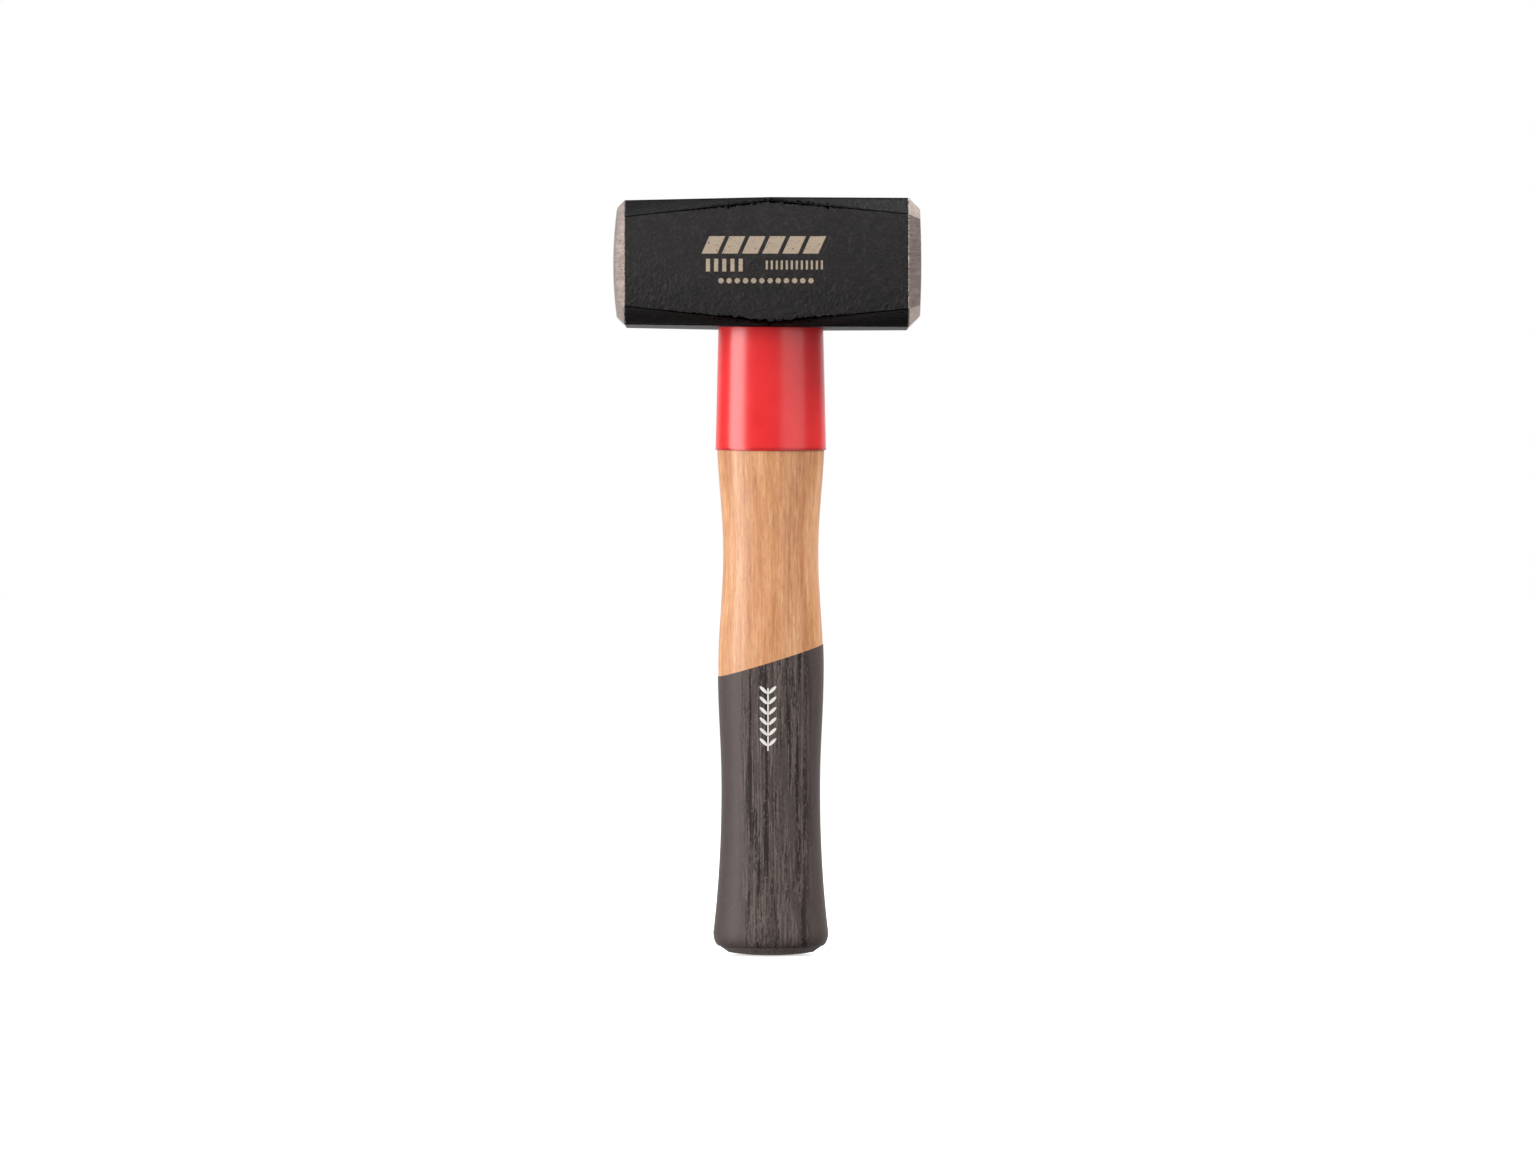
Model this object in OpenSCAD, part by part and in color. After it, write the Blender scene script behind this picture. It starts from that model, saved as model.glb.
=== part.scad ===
// Club hammer with a 70 oz (2 kg) head: a forged head, a hickory handle, a sheet steel guard
// sleeve, a dipped lacquer grip, and the wooden wedge and ring wedge that hold the head on.
// It stands upright. +Z runs up the handle from the butt to the head, +X along the head to its
// right striking face, and -Y is the front. The origin is the lowest point of the butt.

/* [Overall] */
// From the butt to the top of the head
overall = 298; // [290:0.5:310]

/* [Head] */
// Side of the square section, across the flats
head_side = 50.6; // [48:0.1:53]
// From the middle of the eye to the left striking face
left_reach = 62.2; // [58:0.1:66]
// From the middle of the eye to the right striking face
right_reach = 59.4; // [56:0.1:64]
// Leg of the corner flats beside the eye
corner_mid = 1.4; // [0.8:0.1:2.5]
// Leg of the corner flats at the striking faces
corner_end = 7.4; // [5:0.1:9]
// Leg of the ground bevel round the left striking face
left_bevel = 4.9; // [3:0.1:5.3]
// Leg of the ground bevel round the right striking face
right_bevel = 5.3; // [3:0.1:5.3]
// Crown radius of the left striking face
left_crown = 170; // [120:10:400]
// Crown radius of the right striking face
right_crown = 400; // [120:10:500]

/* [Eye] */
// Half the eye's length at its narrow middle
eye_waist = 19.9; // [19.8:0.02:20]
// Half the eye's length at the underside of the head
eye_lower = 20.88; // [20.85:0.01:21.2]
// Half the eye's length at the top of the head
eye_upper = 21.2; // [20.8:0.05:22]
// Leg of the chamfer round both mouths of the eye
eye_chamfer = 0.8; // [0.4:0.1:1.5]

/* [Handle] */
// Thickness of every oval over its width
oval = 0.71; // [0.66:0.01:0.78]
// Depth of the handle's top below the top of the head
tenon_drop = 0.4; // [0.1:0.1:1]
// Half width at the waist below the sleeve
waist = 18.8; // [18:0.05:20]
// Half width at the belly of the grip
belly = 20.75; // [20.2:0.05:21.5]
// Half width at the neck above the butt
neck = 19.3; // [18.5:0.05:20.5]
// Half width of the flare at the butt
flare = 22.55; // [21.5:0.05:24]
// Height of the round at the butt
butt_round = 9; // [6:0.5:12]

/* [Sleeve] */
// Sheet thickness of the steel sleeve
sleeve_wall = 0.75; // [0.6:0.05:0.85]
// Length of sleeve below the head
sleeve_shown = 48; // [46:0.5:52]
// Length of sleeve inside the eye
sleeve_in_eye = 6; // [4:0.5:7]
// Half width of the sleeve at the underside of the head
sleeve_top = 20.75; // [20.7:0.01:20.77]
// Half width of the sleeve at its lower edge
sleeve_foot = 21.87; // [21.8:0.01:22]

/* [Grip lacquer] */
// Thickness of the dipped coat
coat = 0.2; // [0.15:0.05:0.4]
// Height of the coat's upper edge, on the handle's axis
coat_top = 116.5; // [100:0.5:130]
// Slope of the coat's edge across the handle, in degrees
coat_slope = 17; // [0:0.5:25]
// Slope of the coat's edge through the handle's thickness, in degrees
coat_lean = 3; // [0:0.5:8]

/* [Wedges] */
// Outer diameter of the ring wedge
ring_d = 17; // [14:0.5:20]
// Wall of the ring wedge
ring_wall = 2; // [1.5:0.1:2.5]
// Length of the ring wedge
ring_length = 13; // [10:0.5:16]
// Thickness of the wooden wedge at its top
wedge_top = 4.6; // [3.5:0.1:6]
// Thickness of the wooden wedge at its tip
wedge_tip = 1.2; // [0.8:0.1:2]
// Length of the wooden wedge
wedge_length = 32; // [26:1:36]

/* [Hidden] */
$fn = 96;

half = head_side / 2;
eye_height = overall - half;  // middle of the head and of its eye
underside = overall - head_side;
tenon_top = overall - tenon_drop;
sleeve_edge = underside - sleeve_shown;
sleeve_end = underside + sleeve_in_eye;
gap = 0.03;                   // kept between pieces that are driven together
over = 1;                     // how far a cutter stands past what it cuts
big = 2 * overall;            // wider than the whole hammer
coat_limit = coat_top + 2 * belly * tan(coat_slope);  // above the coat's edge all round
corner_slope = (corner_end - corner_mid) / ((left_reach + right_reach) / 2);

// The grip's waves from the butt up, each as [height, half width]
flare_at = [butt_round, flare];
neck_at = [66, neck];
belly_at = [114, belly];
waist_at = [sleeve_edge - 41, waist];
shoulder_at = [sleeve_edge + 9, sleeve_foot - 0.5];
flare_power = 2.1;            // how late the flare opens towards the butt
round_power = 2.5;            // squareness of the round at the butt, 2 is an ellipse
station = 3;                  // spacing of the outline's points up the grip
round_step = 7.5;             // spacing of the points round the butt, in degrees

function ease(t) = (1 - cos(180 * t)) / 2;
function wave(z, a, b) = a[1] + (b[1] - a[1]) * ease((z - a[0]) / (b[0] - a[0]));
function opening(z) = pow((neck_at[0] - z) / (neck_at[0] - butt_round), flare_power);
function grip_width(z) =
    z < neck_at[0] ? neck + (flare - neck) * opening(z)
    : z < belly_at[0] ? wave(z, neck_at, belly_at)
    : z < waist_at[0] ? wave(z, belly_at, waist_at)
    : wave(z, waist_at, shoulder_at);
// The half outline from the butt up to a height, grown outwards by a skin's thickness
function grip_points(skin, height) = concat(
    [for (a = [90:-round_step:0]) [
        (flare + skin) * pow(cos(a), 2 / round_power),
        butt_round - (butt_round - coat + skin) * pow(sin(a), 2 / round_power)
    ]],
    [for (z = [butt_round + station:station:height]) [grip_width(z) + skin, z]]
);
function backwards(points) = [for (i = [len(points) - 1:-1:0]) points[i]];
// Half width of the sleeve, which tapers evenly
function sleeve_width(z) = sleeve_top + (sleeve_foot - sleeve_top) * (underside - z) / sleeve_shown;

// The tenon's half outline, from the eye's narrow middle up
tenon_points = [[eye_waist - gap, eye_height], [eye_upper - gap, tenon_top], [0, tenon_top]];

// A half outline turned about the handle's axis in two halves, and pressed to its oval
module oval_turn() {
    for (side = [0, 180])
        scale([1, oval, 1])
            rotate([0, 0, side])
                rotate_extrude(angle = 180)
                    children();
}

// The head's corner flats: eight planes that meet in a ridge beside the eye
module corner_planes() {
    y = 2 * half - corner_mid;
    x = y / corner_slope;
    polyhedron(
        points = [[x, 0, 0], [-x, 0, 0], [0, y, 0], [0, -y, 0], [0, 0, y], [0, 0, -y]],
        faces = [[0, 4, 2], [2, 4, 1], [1, 4, 3], [3, 4, 0], [2, 5, 0], [1, 5, 2], [3, 5, 1], [0, 5, 3]]
    );
}

// What the grinder takes off round one striking face, for the face on +X
module end_bevel(reach, leg) {
    end_corner = corner_mid + corner_slope * (reach - leg);
    across_corners = (2 * half - end_corner) / sqrt(2);
    for (turn = [0:45:315]) {
        flat = turn % 90 == 0 ? half : across_corners;
        rotate([turn, 0, 0])
            translate([reach, 0, flat - leg])
                rotate([0, 45, 0])
                    translate([-half, -half, 0])
                        cube([2 * half, 2 * half, half]);
    }
}

// A ball whose near side is the crown of a striking face at this reach
module crown_ball(reach, radius) {
    translate([reach - radius, 0, 0]) sphere(radius);
}

// The double cone of the eye, with its chamfered mouths
module eye() {
    flare_out = eye_chamfer + over;
    oval_turn()
        polygon([
            [0, -half - over], [eye_lower + flare_out, -half - over],
            [eye_lower, -half + eye_chamfer], [eye_waist, 0], [eye_upper, half - eye_chamfer],
            [eye_upper + flare_out, half + over], [0, half + over]
        ]);
}

module head() {
    color([0.06, 0.055, 0.055])
    translate([0, 0, eye_height])
    difference() {
        intersection() {
            translate([-left_reach, -half, -half])
                cube([left_reach + right_reach, head_side, head_side]);
            corner_planes();
            crown_ball(right_reach, right_crown);
            mirror([1, 0, 0]) crown_ball(left_reach, left_crown);
        }
        end_bevel(right_reach, right_bevel);
        mirror([1, 0, 0]) end_bevel(left_reach, left_bevel);
        eye();
    }
}

module handle_body() {
    oval_turn()
        polygon(concat(
            grip_points(0, sleeve_edge - 1),
            [for (z = [sleeve_edge, sleeve_end]) [sleeve_width(z) - sleeve_wall - gap, z]],
            tenon_points
        ));
}

// The tapered slab that the wooden wedge fills, with room round it
module kerf(room = 0) {
    top = wedge_top / 2 + room;
    tip = wedge_tip / 2 + room;
    tip_height = tenon_top - wedge_length - room;
    rotate([90, 0, 90])
        linear_extrude(height = 2 * half, center = true)
            polygon([
                [-tip, tip_height], [tip, tip_height], [top, tenon_top],
                [top, tenon_top + over], [-top, tenon_top + over], [-top, tenon_top]
            ]);
}

// The ring wedge as a tube, sharpened from inside at its driven end
module ring_shape(room = 0) {
    outer = ring_d / 2 + room;
    inner = ring_d / 2 - ring_wall - room;
    tip_height = tenon_top - ring_length - room;
    rotate_extrude()
        polygon([
            [inner, tenon_top + room], [outer, tenon_top + room],
            [outer, tip_height], [outer - 0.4, tip_height],
            [inner, tenon_top - ring_length * 0.6]
        ]);
}

module handle() {
    color([0.82, 0.58, 0.38])
    difference() {
        handle_body();
        kerf(gap);
        ring_shape(gap);
    }
}

module guard_sleeve() {
    end_width = sleeve_width(sleeve_end);
    color([0.85, 0.13, 0.13])
    oval_turn()
        polygon([
            [sleeve_foot - sleeve_wall, sleeve_edge], [sleeve_foot, sleeve_edge],
            [end_width, sleeve_end], [end_width - sleeve_wall, sleeve_end]
        ]);
}

// Everything below the lacquer's sloping upper edge
module below_coat_edge() {
    translate([0, 0, coat_top])
        rotate([coat_lean, -coat_slope, 0])
            translate([-big / 2, -big / 2, -big])
                cube(big);
}

module grip_lacquer() {
    color([0.2, 0.17, 0.16])
    intersection() {
        oval_turn()
            polygon(concat(grip_points(coat, coat_limit), backwards(grip_points(0, coat_limit))));
        below_coat_edge();
    }
}

module wooden_wedge() {
    color([0.72, 0.5, 0.3])
    difference() {
        intersection() {
            kerf();
            oval_turn()
                polygon(concat([[0, sleeve_end], [eye_waist - gap, sleeve_end]], tenon_points));
        }
        ring_shape(gap);
    }
}

module ring_wedge() {
    color([0.6, 0.6, 0.62])
    ring_shape();
}

head();
handle();
guard_sleeve();
grip_lacquer();
wooden_wedge();
ring_wedge();
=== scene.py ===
import math

import bmesh
import bpy
from mathutils import Matrix, Vector


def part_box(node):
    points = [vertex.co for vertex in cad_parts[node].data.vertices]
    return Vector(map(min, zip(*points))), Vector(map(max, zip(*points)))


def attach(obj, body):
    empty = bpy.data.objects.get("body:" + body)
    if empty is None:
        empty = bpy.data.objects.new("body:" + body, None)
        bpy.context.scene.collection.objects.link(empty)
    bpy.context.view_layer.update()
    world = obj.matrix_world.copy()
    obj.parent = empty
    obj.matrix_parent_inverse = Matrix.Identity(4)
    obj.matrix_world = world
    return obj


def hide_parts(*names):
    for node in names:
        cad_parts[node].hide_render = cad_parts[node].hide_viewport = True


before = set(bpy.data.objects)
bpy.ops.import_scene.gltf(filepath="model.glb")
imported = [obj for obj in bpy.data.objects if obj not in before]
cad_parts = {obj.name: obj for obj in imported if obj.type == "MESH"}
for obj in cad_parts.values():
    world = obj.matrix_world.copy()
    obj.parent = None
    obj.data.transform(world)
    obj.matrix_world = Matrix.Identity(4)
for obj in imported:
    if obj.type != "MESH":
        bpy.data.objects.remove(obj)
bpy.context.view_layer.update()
mm = 0.001
tiny = 0.001 * mm

headLow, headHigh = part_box("head")
sleeveLow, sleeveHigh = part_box("guard_sleeve")
handleLow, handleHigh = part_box("handle")
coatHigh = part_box("grip_lacquer")[1]
eyeHeight = (headLow[2] + headHigh[2]) / 2
halfSide = (headHigh[2] - headLow[2]) / 2
ovalRatio = (sleeveHigh[1] - sleeveLow[1]) / (sleeveHigh[0] - sleeveLow[0])
print("frame loaded, head", [round((b - a) / mm, 1) for a, b in zip(headLow, headHigh)])


cameraSettings = {
    "distance": 2.6,
    "height": 0.1497,
    "side": -0.0011,
    "lens": 154.3,
}


def setCamera(s):
    data = bpy.data.cameras.new("camera")
    data.lens = s["lens"]
    data.sensor_width = 36
    data.clip_end = 100
    camera = bpy.data.objects.new("camera", data)
    camera.location = (s["side"], -s["distance"], s["height"])
    camera.rotation_euler = (math.radians(90), 0, 0)
    bpy.context.scene.collection.objects.link(camera)
    bpy.context.scene.camera = camera


setCamera(cameraSettings)
print("camera set")


class Wire:
    # a socket that can be used in sums

    def __init__(self, finish, socket):
        self.finish = finish
        self.socket = socket

    def math(self, operation, *values):
        sockets = dict(enumerate(values))
        return self.finish.node("ShaderNodeMath", {"operation": operation}, sockets)

    def __add__(self, other):
        return self.math("ADD", self, other)

    def __sub__(self, other):
        return self.math("SUBTRACT", self, other)

    def __rsub__(self, other):
        return self.math("SUBTRACT", other, self)

    def __mul__(self, other):
        return self.math("MULTIPLY", self, other)

    def __truediv__(self, other):
        return self.math("DIVIDE", self, other)

    __radd__ = __add__
    __rmul__ = __mul__

    def size(self):
        return self.math("ABSOLUTE", self)

    def upper(self, other):
        return self.math("MAXIMUM", self, other)

    def power(self, other):
        return self.math("POWER", self, other)

    def fraction(self):
        return self.math("FRACT", self)

    def rise(self, start, end):
        # 0 below start and 1 above end, or the other way round
        return self.finish.node(
            "ShaderNodeMapRange",
            {"interpolation_type": "SMOOTHSTEP"},
            {"Value": self, "From Min": start, "From Max": end},
        )


class Finish:
    # one material, its principled shader, and the piece's own place in millimetres

    def __init__(self, name, **constants):
        self.material = bpy.data.materials.new(name)
        self.material.use_nodes = True
        self.tree = self.material.node_tree
        self.shader = self.tree.nodes["Principled BSDF"]
        for socket, value in constants.items():
            self.shader.inputs[socket.replace("_", " ")].default_value = value
        self.place = self.node("ShaderNodeTexCoord", out="Object")

    def node(self, kind, settings=None, sockets=None, out=0):
        made = self.tree.nodes.new(kind)
        for name, value in (settings or {}).items():
            if name == "stops":
                self.setStops(made.color_ramp, value)
            else:
                setattr(made, name, value)
        for name, value in (sockets or {}).items():
            if isinstance(value, Wire):
                self.tree.links.new(value.socket, made.inputs[name])
            else:
                made.inputs[name].default_value = value
        return Wire(self, made.outputs[out])

    def setStops(self, ramp, stops):
        while len(ramp.elements) < len(stops):
            ramp.elements.new(1)
        for element, (position, colour) in zip(ramp.elements, stops):
            element.position = position
            element.color = (*colour, 1)

    def placed(self, scale=(1, 1, 1), centre=(0, 0, 0), turn=(0, 0, 0)):
        # place in millimetres from a centre, stretched by a scale for each axis
        sockets = {
            "Vector": self.place,
            "Location": [-c * k for c, k in zip(centre, scale)],
            "Rotation": [math.radians(a) for a in turn],
            "Scale": [k / mm for k in scale],
        }
        return self.node("ShaderNodeMapping", {"vector_type": "POINT"}, sockets)

    def axes(self, vector=None):
        source = {"Vector": vector or self.placed()}
        made = self.node("ShaderNodeSeparateXYZ", None, source)
        outputs = made.socket.node.outputs
        return [Wire(self, socket) for socket in outputs]

    def joined(self, x=0.0, y=0.0, z=0.0):
        return self.node("ShaderNodeCombineXYZ", None, {0: x, 1: y, 2: z})

    def noise(self, vector, scale=1.0, detail=2.0, roughness=0.5):
        sockets = {"Vector": vector, "Scale": scale, "Detail": detail, "Roughness": roughness}
        return self.node("ShaderNodeTexNoise", None, sockets)

    def cells(self, vector, scale=1.0, feature="F1"):
        sockets = {"Vector": vector, "Scale": scale}
        return self.node("ShaderNodeTexVoronoi", {"feature": feature}, sockets, "Distance")

    def ramp(self, value, stops):
        return self.node("ShaderNodeValToRGB", {"stops": stops}, {"Fac": value})

    def blend(self, factor, first, second):
        # the colour sockets of a mix share their names with others, so they go by number
        sockets = {0: factor, 6: first, 7: second}
        return self.node("ShaderNodeMix", {"data_type": "RGBA"}, sockets, 2)

    def between(self, value, low, high, soft=0.08):
        # 1 between two values and 0 outside them
        return value.rise(low - soft, low + soft) * value.rise(high + soft, high - soft)

    def bump(self, height, depth):
        # a height of 1 stands this many millimetres proud
        sockets = {"Strength": 1.0, "Distance": depth * mm, "Height": height}
        return self.node("ShaderNodeBump", None, sockets)

    def wear(self, **links):
        for name, wire in links.items():
            self.tree.links.new(wire.socket, self.shader.inputs[name.replace("_", " ")])
        return self.material


def colour(red, green, blue):
    # a colour as a paint chart gives it, 0 to 255
    return [*((c / 255) ** 2.2 for c in (red, green, blue)), 1]


def tone(red, green, blue):
    # the same for a ramp's stop
    return tuple(colour(red, green, blue)[:3])


def addPiece(name, bm, materials, replaced=None, smoothAngle=30):
    mesh = bpy.data.meshes.new(name)
    bm.to_mesh(mesh)
    bm.free()
    for material in materials:
        mesh.materials.append(material)
    mesh.shade_smooth()
    mesh.set_sharp_from_angle(angle=math.radians(smoothAngle))
    piece = bpy.data.objects.new(name, mesh)
    bpy.context.scene.collection.objects.link(piece)
    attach(piece, "root")
    if replaced:
        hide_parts(replaced)
    return piece


def sliceOff(bm, point, normal, finish=0):
    # takes away what lies beyond a plane, closes the cut and gives it a finish
    parts = bm.verts[:] + bm.edges[:] + bm.faces[:]
    cut = bmesh.ops.bisect_plane(
        bm, geom=parts, dist=1e-7, plane_co=point, plane_no=normal, clear_outer=True
    )
    rim = [part for part in cut["geom_cut"] if isinstance(part, bmesh.types.BMEdge)]
    if rim:
        for face in bmesh.ops.holes_fill(bm, edges=rim, sides=0)["faces"]:
            face.material_index = finish


def turned(outline, steps, ratio=1.0):
    # spins a half outline of (half width, height) points and presses it to an oval
    bm = bmesh.new()
    points = [bm.verts.new((width, 0, height)) for width, height in outline]
    edges = [bm.edges.new(pair) for pair in zip(points, points[1:])]
    if outline[0] == outline[-1]:
        bmesh.ops.remove_doubles(bm, verts=bm.verts[:], dist=1e-7)
        edges = bm.edges[:]
    bmesh.ops.spin(
        bm,
        geom=bm.verts[:] + edges,
        cent=(0, 0, 0),
        axis=(0, 0, 1),
        angle=math.tau,
        steps=steps,
        use_merge=True,
    )
    bmesh.ops.remove_doubles(bm, verts=bm.verts[:], dist=1e-7)
    bmesh.ops.scale(bm, vec=(1, ratio, 1), verts=bm.verts[:])
    bmesh.ops.recalc_face_normals(bm, faces=bm.faces[:])
    return bm


def cutAway(piece, bm):
    # a boolean cut with a throwaway cutter
    mesh = bpy.data.meshes.new("cutter")
    bm.to_mesh(mesh)
    bm.free()
    cutter = bpy.data.objects.new("cutter", mesh)
    bpy.context.scene.collection.objects.link(cutter)
    step = piece.modifiers.new("cut", "BOOLEAN")
    step.operation = "DIFFERENCE"
    step.solver = "EXACT"
    step.object = cutter
    seen = piece.evaluated_get(bpy.context.evaluated_depsgraph_get())
    cut = bpy.data.meshes.new_from_object(seen)
    piece.modifiers.remove(step)
    cut.name = piece.data.name
    piece.data = cut
    bpy.data.objects.remove(cutter)
    cut.set_sharp_from_angle(angle=math.radians(30))


def ease(t):
    return (1 - math.cos(math.pi * t)) / 2


def spread(start, end, count):
    return [start + (end - start) * i / (count - 1) for i in range(count)]


# a forged block: cheeks stand a step above the corner flats, and both ends are ground
head = {
    "cornerMid": 1.4 * mm,
    "cornerEnd": 7.4 * mm,
    "step": 0.2 * mm,
    "stepWidth": 0.4 * mm,
    "edgeRound": 0.2 * mm,
    "leftTaper": 0.04,
    "bevels": {-1: 4.9 * mm, 1: 5.3 * mm},
    "crowns": {-1: 170 * mm, 1: 400 * mm},
    "crownGrid": 20,
    "eyeWaist": 19.9 * mm,
    "eyeLower": 20.88 * mm,
    "eyeUpper": 21.2 * mm,
    "eyeChamfer": 0.8 * mm,
    "past": 1 * mm,  # how far the eye's cutter stands out
}


def forgedBlock(s):
    middle = (headLow[0] + headHigh[0]) / 2
    size = (headHigh[0] - headLow[0], 2 * halfSide, 2 * halfSide)
    bm = bmesh.new()
    bmesh.ops.create_cube(bm, size=1)
    bmesh.ops.scale(bm, vec=size, verts=bm.verts[:])
    bmesh.ops.translate(bm, vec=(middle, 0, 0), verts=bm.verts[:])
    ends = [e for e in bm.edges if abs(e.verts[0].co.x - e.verts[1].co.x) < tiny]
    bmesh.ops.subdivide_edges(bm, edges=ends, cuts=s["crownGrid"], use_grid_fill=True)
    for face in bm.faces:
        face.material_index = 2 if abs(face.normal.x) > 0.9 else 0
    for vert in bm.verts:
        side = 1 if vert.co.x > 0 else -1
        away = vert.co.y**2 + vert.co.z**2
        vert.co.x -= side * away / (2 * s["crowns"][side])
    return bm


def cornerFlats(bm, s):
    reach = (headHigh[0] - headLow[0]) / 2
    slope = (s["cornerEnd"] - s["cornerMid"]) / reach
    for side in (-1, 1):
        for up in (-1, 1):
            for front in (-1, 1):
                point = Vector((0, front * halfSide, up * (halfSide - s["cornerMid"])))
                sliceOff(bm, point, Vector((side * slope, front, up)).normalized())


def forged(part):
    return all(face.material_index == 0 for face in part.link_faces)


def stepFlats(bm, s):
    # sinks each pair of corner flats a little, so that the cheeks end in a step
    bmesh.ops.dissolve_limit(
        bm,
        angle_limit=math.radians(0.1),
        verts=[v for v in bm.verts if forged(v)],
        edges=[e for e in bm.edges if forged(e)],
    )
    for up in (-1, 1):
        for front in (-1, 1):
            pair = [
                face
                for face in bm.faces
                if face.normal.z * up > 0.5 and face.normal.y * front > 0.5
            ]
            bmesh.ops.inset_region(
                bm,
                faces=pair,
                thickness=s["stepWidth"],
                depth=-s["step"],
                use_boundary=True,
                use_even_offset=True,
            )


def softenForging(bm, s):
    # rounds the long proud edges before the ends are ground
    long = [e for e in bm.edges if forged(e) and e.calc_face_angle(0) > 0.9]
    bmesh.ops.bevel(
        bm,
        geom=long,
        offset=s["edgeRound"],
        offset_type="OFFSET",
        affect="EDGES",
        segments=2,
        profile=0.5,
        material=-1,
        clamp_overlap=True,
    )


def taperLeft(bm, s):
    # the left half of the forging thins evenly towards its end
    parts = bm.verts[:] + bm.edges[:] + bm.faces[:]
    bmesh.ops.bisect_plane(bm, geom=parts, dist=1e-7, plane_co=(0, 0, 0), plane_no=(1, 0, 0))
    for vert in bm.verts:
        vert.co.z *= 1 - s["leftTaper"] * max(0, vert.co.x / headLow[0])


def grindEnds(bm, s):
    reach = (headHigh[0] - headLow[0]) / 2
    slope = (s["cornerEnd"] - s["cornerMid"]) / reach
    for side, leg in s["bevels"].items():
        end = headHigh[0] if side > 0 else -headLow[0]
        endCorner = s["cornerMid"] + slope * (end - leg)
        acrossCorners = (2 * halfSide - endCorner) / math.sqrt(2)
        for eighth in range(8):
            turn = math.radians(45 * eighth)
            flat = halfSide if eighth % 2 == 0 else acrossCorners
            out = Vector((0, math.sin(turn), math.cos(turn)))
            point = Vector((side * end, 0, 0)) + out * (flat - leg)
            sliceOff(bm, point, (out + Vector((side, 0, 0))).normalized(), 1)


def eyeCutter(s):
    past = s["past"]
    flare = s["eyeChamfer"] + past
    outline = [
        (0, -halfSide - past),
        (s["eyeLower"] + flare, -halfSide - past),
        (s["eyeLower"], -halfSide + s["eyeChamfer"]),
        (s["eyeWaist"], 0),
        (s["eyeUpper"], halfSide - s["eyeChamfer"]),
        (s["eyeUpper"] + flare, halfSide + past),
        (0, halfSide + past),
    ]
    bm = turned(outline, 96, ovalRatio)
    bmesh.ops.translate(bm, vec=(0, 0, eyeHeight), verts=bm.verts[:])
    return bm


def makeHead(s, materials):
    bm = forgedBlock(s)
    cornerFlats(bm, s)
    stepFlats(bm, s)
    softenForging(bm, s)
    grindEnds(bm, s)
    taperLeft(bm, s)
    bmesh.ops.recalc_face_normals(bm, faces=bm.faces[:])
    bmesh.ops.translate(bm, vec=(0, 0, eyeHeight), verts=bm.verts[:])
    piece = addPiece("forgedHead", bm, materials, "head")
    cutAway(piece, eyeCutter(s))
    return piece


# height and half width at each station of the grip
handle = {
    "waist": (158.4 * mm, 18.8 * mm),
    "belly": (114 * mm, 20.75 * mm),
    "neck": (66 * mm, 19.3 * mm),
    "flare": (9 * mm, 22.55 * mm),
    "flarePower": 2.1,
    "buttEdge": (3.6 * mm, 19.9 * mm),
    "buttChamfer": (1.3 * mm, 16.8 * mm),
    "shoulderRise": 9 * mm,
    "shoulderInset": 0.5 * mm,
    "gap": 0.03 * mm,
    "around": 128,
    "past": 1 * mm,  # how far the cutters stand out of the tenon
    "wedgeTip": 1.2 * mm,
    "ringWall": 2 * mm,
    "ringTip": 0.4 * mm,
    "ringStraight": 0.6,
}


def gripWidth(height, s):
    # half width of the grip at a height
    (neckAt, neck), (bellyAt, belly) = s["neck"], s["belly"]
    waistAt, waist = s["waist"]
    flareAt, flare = s["flare"]
    if height < neckAt:
        return neck + (flare - neck) * ((neckAt - height) / (neckAt - flareAt)) ** s["flarePower"]
    if height < bellyAt:
        return neck + (belly - neck) * ease((height - neckAt) / (bellyAt - neckAt))
    if height < waistAt:
        return belly + (waist - belly) * ease((height - bellyAt) / (waistAt - bellyAt))
    shoulderAt = sleeveLow[2] + s["shoulderRise"]
    shoulder = sleeveHigh[0] - s["shoulderInset"]
    return waist + (shoulder - waist) * ease((height - waistAt) / (shoulderAt - waistAt))


def gripOutline(s, top, skin):
    # from the middle of the butt up: a dome, a sanded chamfer, a round, then the grip
    base = handleLow[2] - skin
    edgeAt, edge = s["buttEdge"]
    chamferAt, chamfer = s["buttChamfer"]
    flareAt, flare = s["flare"]
    outline = [(chamfer * k, base + chamferAt * k**2.4) for k in spread(0, 1, 10)]
    for a in spread(0, math.pi / 2, 9):
        width = edge + (flare - edge) * math.sin(a)
        outline.append((width + skin, flareAt - (flareAt - edgeAt) * math.cos(a)))
    outline += [(gripWidth(z, s) + skin, z) for z in spread(flareAt, top, 90)[1:]]
    return outline


def sleeveWidth(height, s):
    # half width of the sleeve, which tapers evenly
    slope = (sleeveHigh[0] - s["top"]) / (headLow[2] - sleeveLow[2])
    return s["top"] + slope * (headLow[2] - height)


def slotCutter(s):
    # the tapered slot that the wooden wedge fills, run on past the sides and the end
    low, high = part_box("wooden_wedge")
    long, thick, tall = (b - a for a, b in zip(low, high))
    mouth = thick + (thick - s["wedgeTip"]) / tall * s["past"]
    bm = bmesh.new()
    bmesh.ops.create_cube(bm, size=1)
    tip = [v for v in bm.verts if v.co.z < 0]
    bmesh.ops.scale(bm, vec=(1, s["wedgeTip"] / mouth, 1), verts=tip)
    size = (long + 4 * s["past"], mouth, tall + s["past"])
    bmesh.ops.scale(bm, vec=size, verts=bm.verts[:])
    middle = (low[2] + high[2] + s["past"]) / 2
    bmesh.ops.translate(bm, vec=(0, 0, middle), verts=bm.verts[:])
    bmesh.ops.recalc_face_normals(bm, faces=bm.faces[:])
    return bm


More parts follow.
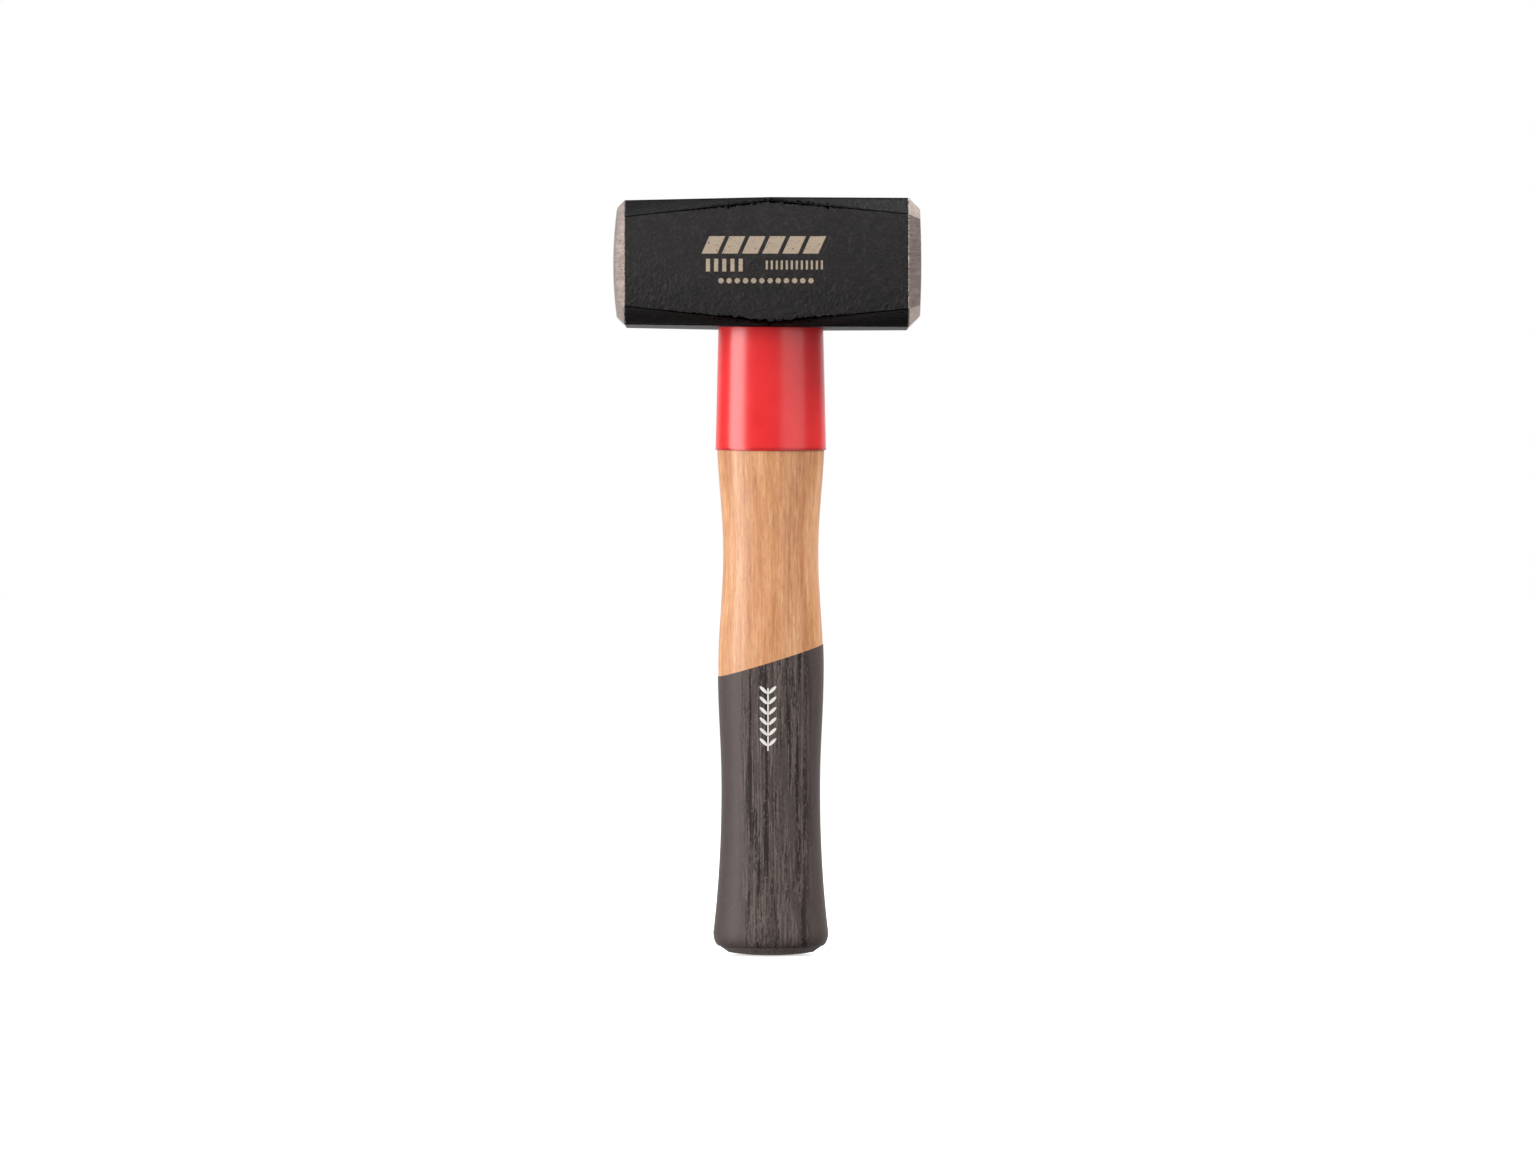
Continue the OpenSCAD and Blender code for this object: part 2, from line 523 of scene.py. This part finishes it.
def ringCutter(s):
    # the ring wedge's own shape, run on past the tenon's end
    low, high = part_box("ring_wedge")
    inner = high[0] - s["ringWall"]
    end = high[2] + s["past"]
    outline = [
        (inner, end),
        (high[0], end),
        (high[0], low[2]),
        (high[0] - s["ringTip"], low[2]),
        (inner, high[2] - (high[2] - low[2]) * s["ringStraight"]),
        (inner, end),
    ]
    return turned(outline, 96)


def makeHandle(s, materials):
    edge = sleeveLow[2]
    inner = sleeve["wall"] + s["gap"]
    outline = gripOutline(s, edge - 1 * mm, 0)
    outline += [(sleeveWidth(z, sleeve) - inner, z) for z in spread(edge, sleeveHigh[2], 12)]
    outline.append((head["eyeWaist"] - s["gap"], eyeHeight))
    outline.append((head["eyeUpper"] - s["gap"], handleHigh[2]))
    outline.append((0, handleHigh[2]))
    bm = turned(outline, s["around"], ovalRatio)
    piece = addPiece("hickoryHandle", bm, materials, "handle")
    cutAway(piece, slotCutter(s))
    cutAway(piece, ringCutter(s))
    return piece


sleeve = {
    "top": 20.75 * mm,
    "wall": 0.75 * mm,
    "lip": 0.14 * mm,
    "bow": 0.6 * mm,  # the lower edge dips this much at front and back
    "bowReach": 12 * mm,
    "around": 160,
}


def makeSleeve(s, materials):
    foot, top, wall, lip = sleeveLow[2], sleeveHigh[2], s["wall"], s["lip"]
    outer = [(sleeveWidth(z, s), z) for z in spread(foot + lip, top, 30)]
    outline = [(outer[0][0] - wall, foot + lip), (outer[0][0] - wall + lip, foot)]
    outline += [(outer[0][0] - lip, foot)] + outer
    outline += [(outer[-1][0] - wall, top), outline[0]]
    bm = turned(outline, s["around"], ovalRatio)
    for vert in bm.verts:
        across = min(1, abs(vert.co.x) / sleeveHigh[0])
        near = max(0, 1 - (vert.co.z - foot) / s["bowReach"])
        vert.co.z -= s["bow"] * (1 - across**2) * near
    return addPiece("guardSleeve", bm, materials, "guard_sleeve", 50)


grip = {
    "coat": 0.2 * mm,
    "edgeHeight": 116.5 * mm,
    "slope": 17,  # degrees across the handle
    "lean": 3,  # degrees through it
}


def makeGrip(s, materials):
    outline = gripOutline(handle, coatHigh[2] + 12 * mm, s["coat"])  # cut to length below
    bm = turned(outline, handle["around"], ovalRatio)
    lean = Matrix.Rotation(math.radians(s["lean"]), 3, "X")
    tilt = lean @ Matrix.Rotation(math.radians(-s["slope"]), 3, "Y")
    parts = bm.verts[:] + bm.edges[:] + bm.faces[:]
    bmesh.ops.bisect_plane(
        bm,
        geom=parts,
        dist=1e-7,
        plane_co=(0, 0, s["edgeHeight"]),
        plane_no=tilt @ Vector((0, 0, 1)),
        clear_outer=True,
    )
    bmesh.ops.dissolve_degenerate(bm, dist=10 * tiny, edges=bm.edges[:])
    bmesh.ops.solidify(bm, geom=bm.faces[:], thickness=s["coat"])
    bmesh.ops.recalc_face_normals(bm, faces=bm.faces[:])
    return addPiece("dippedGrip", bm, materials, "grip_lacquer", 50)


# plain bars, ticks and dots on the front cheek, in millimetres from the middle of the head
cheekMark = {
    "bars": {"left": -28.5, "right": 18.9, "low": 3.1, "high": 9.9, "pitch": 7.9, "share": 0.78},
    "barLean": 0.45,
    "ticks": {"left": -25.4, "right": -9.4, "low": -3.9, "high": 1.1, "pitch": 3.2, "share": 0.5},
    "scale": {"left": -2, "right": 21.5, "low": -3.1, "high": 0.4, "pitch": 1.96, "share": 0.42},
    "dots": {"left": -21.1, "right": 17.3, "middle": -7.5, "pitch": 3.2, "radius": 1.05},
}

# a sprig of paired leaves on the front of the grip
sprig = {
    "centre": -1.1,
    "low": 81.0,
    "high": 105.6,
    "pitch": 4.1,
    "stem": 0.28,
    "leafAt": 1.75,
    "leafHalf": 1.5,
    "leafThick": 0.85,
    "lean": 0.8,
}


def markRow(f, along, height, s):
    # a row of upright bars
    cell = ((along - s["left"]) / s["pitch"]).fraction()
    row = f.between(along, s["left"], s["right"]) * f.between(height, s["low"], s["high"])
    return row * cell.rise(s["share"] + 0.02, s["share"] - 0.02)


def markDots(f, along, height, s):
    # a row of round dots
    cell = ((along - s["left"]) / s["pitch"]).fraction() - 0.5
    across = cell * s["pitch"]
    rise = height - s["middle"]
    away = across * across + rise * rise
    dot = away.rise(s["radius"] ** 2 + 0.1, s["radius"] ** 2 - 0.1)
    return f.between(along, s["left"], s["right"]) * dot


def cheekMarks(f, x, y, z, s):
    bars = markRow(f, x - z * s["barLean"], z, s["bars"])
    ticks = markRow(f, x, z, s["ticks"])
    scale = markRow(f, x, z, s["scale"])
    dots = markDots(f, x, z, s["dots"])
    front = y.rise(-24.9, -25.2)  # on the front cheek alone
    return bars.upper(ticks).upper(scale).upper(dots) * front


def gripSprig(f, x, y, z, s):
    away = (x - s["centre"]).size()
    along = z - away * s["lean"]
    leaf = ((along - s["low"]) / s["pitch"]).fraction() - 0.5
    long = (away - s["leafAt"]) / s["leafHalf"]
    wide = leaf * (s["pitch"] / s["leafThick"])
    leaves = (long * long + wide * wide).rise(1.15, 0.85) * f.between(along, s["low"], s["high"])
    stem = away.rise(s["stem"] + 0.08, s["stem"] - 0.08) * f.between(z, s["low"], s["high"])
    return leaves.upper(stem) * y.rise(0, -1)


def blackLacquer(s):
    f = Finish("blackLacquer", Specular_IOR_Level=0.29)
    place = f.placed(centre=(0, 0, eyeHeight / mm))
    x, y, z = f.axes(place)
    slope = (s["cornerEnd"] - s["cornerMid"]) / ((headHigh[0] - headLow[0]) / 2)
    inset = x.size() * slope - (halfSide - s["cornerMid"]) / mm
    thinned = 1 - (x * (mm / headLow[0] * s["leftTaper"])).upper(0)
    cheekEdge = (z / thinned).size() + inset
    topEdge = y.size() + inset
    ragged = f.noise(place, 0.7, 4.0, 0.7)
    middle = x.size().rise(48, 12)
    width = (ragged - 0.42).upper(0) * middle * 5.5 + 0.22
    # painted shadow: a dark line along the step where the cheeks meet the corner flats
    cheekLine = (cheekEdge.size() - width).rise(0.12, -0.08)
    topLine = (topEdge.size() - 0.12).rise(0.12, -0.08)
    creaseShadow = cheekLine.upper(topLine * 0.7)
    flat = cheekEdge.rise(0.1, 0.5) * topEdge.rise(0.1, 0.5)

    pebble = f.cells(place, 0.95, "SMOOTH_F1")
    swell = f.noise(place, 0.25, 3.0)
    fine = f.noise(place, 1.3, 4.0, 0.6)
    wrinkle = f.noise(f.placed((1.7, 1.7, 0.8)), 1.0, 3.0, 0.6)
    grain = pebble * 0.5 + wrinkle * 0.5
    tint = f.ramp(
        grain * 0.7 + swell * 0.3,
        [(0.36, tone(11, 8, 8)), (0.5, tone(22, 17, 17)), (0.64, tone(37, 31, 31))],
    )
    # painted shade: the corner flats are painted darker than the cheeks
    thick = f.blend(flat * 0.8, tint, colour(6, 5, 5))
    speck = f.cells(place, 0.8).rise(0.13, 0.05) * fine.rise(0.5, 0.56)
    dusted = f.blend(speck * 0.45, thick, colour(120, 116, 112))
    # the crease is painted near black, a painted shadow along the step
    dark = f.blend(creaseShadow, dusted, colour(4, 3, 3))
    rightLip = (x - (headHigh[0] - s["bevels"][1]) / mm).rise(-0.4, -0.15)
    leftLip = (x - (headLow[0] + s["bevels"][-1]) / mm).rise(0.3, 0.1)
    lip = rightLip.upper(leftLip * 0.6) * fine.rise(0.42, 0.5)
    chipped = f.blend(lip, dark, colour(185, 174, 167))
    mark = cheekMarks(f, x, y, z, cheekMark) * fine.rise(0.3, 0.42)
    shade = f.blend(mark * 0.95, chipped, colour(160, 144, 126))
    rough = 0.46 + fine * 0.14 - flat * 0.06 + mark * 0.15
    height = grain * (1.2 - flat * 0.6) + fine * 0.3 + swell * 0.4 - creaseShadow - mark * 0.15
    return f.wear(
        Base_Color=shade,
        Roughness=rough,
        Metallic=creaseShadow.upper(lip),
        Normal=f.bump(height, 0.55),
    )


def groundBevels(s):
    f = Finish("groundBevels", Metallic=1.0)
    x, y, z = f.axes(f.placed(centre=(0, 0, eyeHeight / mm)))
    lead = y.size() - z.size()  # high on the front and back bevels, low on top and bottom
    corner = s["cornerEnd"] / mm - 1
    front = lead.rise(corner - 0.3, corner + 0.3)
    top = lead.rise(0.3 - corner, -0.3 - corner)
    across = z * front + y * top + lead * (1 - front - top) * 0.7
    lines = f.noise(f.joined(across * 0.9, x * 0.06), 1.0, 4.0, 0.7)
    hair = f.noise(f.joined(across * 5, x * 0.3), 1.0, 2.0)
    worn = f.noise(f.placed(), 0.35, 3.0)
    tint = f.ramp(
        lines * 0.5 + hair * 0.2 + worn * 0.3,
        [(0.35, tone(168, 148, 139)), (0.65, tone(212, 198, 191))],
    )
    rough = 0.23 + hair * 0.06 + worn * 0.04
    height = lines * 0.6 + hair * 0.4
    return f.wear(Base_Color=tint, Roughness=rough, Normal=f.bump(height, 0.002))


def groundFaces():
    f = Finish("groundFaces", Metallic=1.0)
    lines = f.noise(f.placed((3, 0.05, 2.2), turn=(8, 0, 0)), 1.0, 4.0, 0.65)
    stain = f.noise(f.placed(), 0.09, 3.0)
    tint = f.ramp(
        lines * 0.7 + stain * 0.3, [(0.35, tone(124, 114, 106)), (0.65, tone(170, 161, 154))]
    )
    rough = 0.5 + lines * 0.14 + stain * 0.1
    return f.wear(Base_Color=tint, Roughness=rough, Normal=f.bump(lines, 0.04))


def hickory():
    f = Finish("hickory", Coat_Weight=0.2, Coat_Roughness=0.3)
    figure = f.noise(f.placed((0.1, 0.28, 0.011)), 1.0, 3.0, 0.55)
    fibre = f.noise(f.placed((1.5, 1.5, 0.07)), 1.0, 4.0, 0.65)
    mottle = f.noise(f.placed((0.8, 0.8, 0.2)), 1.0, 3.0, 0.6)
    pores = f.noise(f.placed((2.9, 2.9, 0.28)), 1.0, 2.0, 0.5).rise(0.58, 0.66)
    flame = f.noise(f.placed((0.35, 0.35, 0.02), (-9, 0, 0)), 1.0, 3.0).rise(0.55, 0.7)
    streak = f.noise(f.placed((0.55, 0.55, 0.009), (5, 0, 0)), 1.0, 4.0, 0.6)
    bands = f.ramp(
        figure * 0.35 + streak * 0.45 + mottle * 0.2,
        [(0.38, tone(174, 113, 70)), (0.5, tone(199, 141, 96)), (0.62, tone(217, 165, 121))],
    )
    lined = f.blend(fibre.rise(0.4, 0.72) * 0.38, bands, colour(164, 105, 66))
    pale = f.blend(fibre.rise(0.46, 0.3) * 0.3, lined, colour(232, 186, 142))
    flamed = f.blend(flame * 0.3, pale, colour(170, 92, 58))
    along = f.blend(pores * 0.28, flamed, colour(126, 76, 46))

    # the tenon's sawn end shows growth rings and open pores
    x, y, z = f.axes()
    sawn = z.rise(handleHigh[2] / mm - 0.4, handleHigh[2] / mm - 0.2)
    wander = f.noise(f.placed((0.12, 0.12, 0)), 1.0, 3.0)
    deep = y + 42  # the middle of the tree lies 42 mm in front
    ring = ((deep * deep + x * x).power(0.5) / 2.3 + wander * 1.2).fraction()
    dots = f.cells(f.placed((1, 1, 0)), 1.6).rise(0.34, 0.2)
    end = f.ramp(
        ring,
        [(0.1, tone(112, 70, 42)), (0.35, tone(150, 102, 64)), (0.9, tone(171, 122, 80))],
    )
    holed = f.blend(dots * ring.rise(0.7, 0.2) * 0.75, end, colour(62, 36, 22))
    shade = f.blend(sawn, along, holed)
    height = fibre * 0.5 - pores * 0.5 - dots * sawn
    rough = 0.42 + mottle * 0.14 + sawn * 0.2
    return f.wear(Base_Color=shade, Roughness=rough, Normal=f.bump(height, 0.05))


def redPaint():
    f = Finish("redPaint")
    place = f.placed()
    peel = f.noise(place, 0.45, 2.0)
    cloud = f.noise(place, 0.08, 2.0)
    tint = f.ramp(cloud, [(0.3, tone(211, 40, 43)), (0.7, tone(217, 46, 48))])
    z = f.axes()[2]
    # painted shade: the sleeve is painted darker along its lower edge
    edge = sleeveLow[2] / mm
    rim = z.rise(edge + 0.9, edge + 0.3)
    shade = f.blend(rim * 0.35, tint, colour(120, 12, 20))
    rough = 0.2 + peel * 0.08
    return f.wear(Base_Color=shade, Roughness=rough, Normal=f.bump(peel, 0.006))


def greyLacquer():
    f = Finish("greyLacquer", Specular_IOR_Level=0.22)
    x, y, z = f.axes()
    openGrain = (x - 2).size().rise(16, 10)  # on the flat-sawn front and back
    furrow = f.noise(f.placed((0.42, 0.3, 0.014)), 1.0, 5.0, 0.66)
    pore = f.noise(f.placed((2.2, 2.2, 0.16)), 1.0, 3.0, 0.6)
    ridge = f.noise(f.placed((1.1, 0.6, 0.035), (40, 0, 0)), 1.0, 4.0, 0.7)
    ragged = f.noise(f.placed((1.7, 1.7, 0.55)), 1.0, 3.0, 0.65) - 0.5
    deep = (furrow + ragged * 0.28).rise(0.5, 0.57) * openGrain
    pits = pore.rise(0.54, 0.62) * (openGrain * 0.9 + 0.1)
    tops = (ridge - ragged * 0.3).rise(0.48, 0.6) * openGrain
    edge = handle["buttEdge"][0] / mm
    butt = z.rise(edge + 0.2, edge - 0.2)
    # painted shade: a dark line along the butt's edge
    buttEdgeShade = f.between(z, edge - 0.15, edge + 0.2, 0.12)
    grit = f.noise(f.placed(), 2.2, 3.0, 0.7)
    tint = f.ramp(pore, [(0.3, tone(70, 61, 58)), (0.7, tone(81, 71, 68))])
    furrowed = f.blend(deep * 0.9, tint, colour(36, 28, 26))
    pitted = f.blend(pits * 0.65, furrowed, colour(34, 27, 25))
    # painted highlight: the ridge tops of the open grain are painted lighter, over their real
    # relief
    ridgeHighlight = f.blend(tops * (1 - deep) * 0.6, pitted, colour(110, 100, 96))
    gritty = f.ramp(grit, [(0.35, tone(72, 60, 56)), (0.65, tone(146, 134, 128))])
    dome = f.blend(butt * 0.85, ridgeHighlight, gritty)
    lined = f.blend(buttEdgeShade * 0.8, dome, colour(28, 20, 20))
    dust = f.cells(f.placed(), 0.5).rise(0.13, 0.06) * grit.rise(0.48, 0.52)
    dusted = f.blend(dust * 0.5, lined, colour(165, 155, 150))
    mark = gripSprig(f, x, y, z, sprig) * pore.rise(0.74, 0.66)
    shade = f.blend(mark * 0.92, dusted, colour(226, 221, 216))
    rough = 0.42 + pore * 0.16 + butt * 0.25 + deep * 0.1
    height = tops * 0.3 - deep * 0.5 - pits * 0.3 + butt * grit * 0.8 + pore * 0.15
    return f.wear(Base_Color=shade, Roughness=rough, Normal=f.bump(height, 0.16))


def wedgeWood():
    f = Finish("wedgeWood")
    grain = f.noise(f.placed((0.16, 3, 0.4)), 1.0, 4.0, 0.6)
    tint = f.ramp(grain, [(0.3, tone(140, 96, 58)), (0.7, tone(196, 150, 102))])
    return f.wear(Base_Color=tint, Roughness=0.6 + grain * 0.2, Normal=f.bump(grain, 0.08))


def wedgeSteel():
    f = Finish("wedgeSteel", Metallic=1.0)
    marks = f.noise(f.placed((1.6, 1.6, 0.5)), 1.0, 4.0, 0.65)
    tint = f.ramp(marks, [(0.3, tone(112, 106, 100)), (0.7, tone(172, 167, 162))])
    return f.wear(Base_Color=tint, Roughness=0.32 + marks * 0.25, Normal=f.bump(marks, 0.06))


makeHead(head, [blackLacquer(head), groundBevels(head), groundFaces()])
print("head made")
makeHandle(handle, [hickory()])
print("handle made")
makeSleeve(sleeve, [redPaint()])
makeGrip(grip, [greyLacquer()])
print("sleeve and grip made")
for node, material in (("wooden_wedge", wedgeWood()), ("ring_wedge", wedgeSteel())):
    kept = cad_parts[node].data.materials
    kept.clear()
    kept.append(material)
print("wedges finished")

# azimuths are turned from the camera's side, to the right
studio = {
    "leftBox": {
        "azimuth": -60,
        "rise": 0,
        "distance": 0.8,
        "width": 0.49,
        "height": 1.0,
        "power": 11.8,
    },
    "rightBox": {
        "azimuth": 37,
        "rise": 0,
        "distance": 1.3,
        "width": 1.0,
        "height": 1.6,
        "power": 7.5,
    },
    "rightFill": {
        "azimuth": 75,
        "rise": 50,
        "distance": 1.3,
        "width": 0.9,
        "height": 0.9,
        "power": 21,
    },
    "aim": 0.2,
    "rear": 1.1,
    "front": 0.32,
    "below": 0.06,
    "floorGlow": 0.6,
}


def softBox(name, s, aim):
    # a panel that faces a point this high on the handle's axis
    data = bpy.data.lights.new(name, "AREA")
    data.shape = "RECTANGLE"
    data.size = s["width"]
    data.size_y = s["height"]
    data.energy = s["power"]
    lamp = bpy.data.objects.new(name, data)
    turn = math.radians(s["azimuth"])
    rise = math.radians(s["rise"])
    level = math.cos(rise)
    away = Vector((math.sin(turn) * level, -math.cos(turn) * level, math.sin(rise)))
    lamp.location = away * s["distance"] + Vector((0, 0, aim))
    lamp.rotation_mode = "QUATERNION"
    lamp.rotation_quaternion = away.to_track_quat("Z", "Y")
    bpy.context.scene.collection.objects.link(lamp)


def studioWorld(s):
    # white to the eye, bright behind the hammer, dim in front of it and dimmer below
    world = bpy.data.worlds.new("studio")
    bpy.context.scene.world = world
    world.use_nodes = True
    tree = world.node_tree

    def join(kind, inputs, out=0):
        made = tree.nodes.new(kind)
        for name, value in inputs.items():
            if isinstance(value, bpy.types.NodeSocket):
                tree.links.new(value, made.inputs[name])
            else:
                made.inputs[name].default_value = value
        return made.outputs[out]

    def fade(value, start, end, first, last):
        span = {"Value": value, "From Min": start, "From Max": end}
        return join("ShaderNodeMapRange", {**span, "To Min": first, "To Max": last})

    way = join("ShaderNodeTexCoord", {}, "Generated")
    split = join("ShaderNodeSeparateXYZ", {"Vector": way}).node.outputs
    low = fade(split["Z"], -0.9, -0.4, s["below"], s["front"])
    behind = fade(split["Y"], 0.35, 0.6, low, s["rear"])
    eye = join("ShaderNodeLightPath", {}, "Is Camera Ray")
    strength = join("ShaderNodeMix", {0: eye, 2: behind, 3: 1.0})
    back = tree.nodes["Background"]
    back.inputs["Color"].default_value = (1, 1, 1, 1)
    tree.links.new(strength, back.inputs["Strength"])


def makeFloor(s):
    # plain pale paper, kept out of the hammer's reflections
    bm = bmesh.new()
    bmesh.ops.create_circle(bm, cap_ends=True, radius=40, segments=96)
    mesh = bpy.data.meshes.new("floor")
    bm.to_mesh(mesh)
    bm.free()
    floor = bpy.data.objects.new("floor", mesh)
    bpy.context.scene.collection.objects.link(floor)
    glow = {"Emission_Color": (1, 1, 1, 1), "Emission_Strength": s["floorGlow"]}
    f = Finish("floorPaper", Roughness=0.9, **glow)
    fibre = f.noise(f.placed((0.3, 0.3, 0.3)), 1.0, 3.0)
    tint = f.ramp(fibre, [(0, (0.88, 0.88, 0.88)), (1, (0.92, 0.92, 0.92))])
    mesh.materials.append(f.wear(Base_Color=tint))
    floor.visible_diffuse = False
    floor.visible_glossy = False


for name in ("leftBox", "rightBox", "rightFill"):
    softBox(name, studio[name], studio["aim"])
studioWorld(studio)
makeFloor(studio)
bpy.context.scene.view_settings.view_transform = "Standard"
print("studio set")
